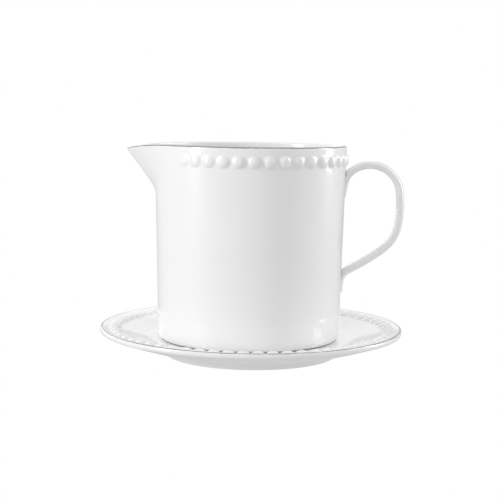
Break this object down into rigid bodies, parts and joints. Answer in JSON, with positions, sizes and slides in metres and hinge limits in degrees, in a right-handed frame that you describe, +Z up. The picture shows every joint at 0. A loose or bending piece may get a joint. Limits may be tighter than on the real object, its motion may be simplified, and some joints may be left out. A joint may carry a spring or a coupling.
{
  "type": "gravy boat",
  "caption": "Straight-sided white china gravy jug with a pulled spout, bead band and strap handle, standing on a round saucer with a beaded rim.",
  "frame": {"origin": "on the table at the centre of the saucer's foot ring, which is also the middle of the whole part's footprint to within half a millimetre", "axes": "+Z up, +X from the spout towards the handle, -Y towards the viewer with the spout on the left"},
  "size_m": [0.1601, 0.16, 0.1114],
  "materials": {
    "jug_china": "clear gloss glaze over white bone china, cool grey line on the rim",
    "handle_china": "clear gloss glaze over white bone china",
    "saucer_china": "clear gloss glaze over white bone china, cool grey line on the edge"
  },
  "bodies": {
    "saucer": {"saucer": "saucer_china"},
    "jug": {"jug_body": "jug_china", "jug_handle": "handle_china"}
  },
  "joints": [
    {"name": "jug_lift", "type": "slide", "parent": "saucer", "child": "jug", "axis": [0, 0, 1], "range_m": [0, 0.12]}
  ]
}
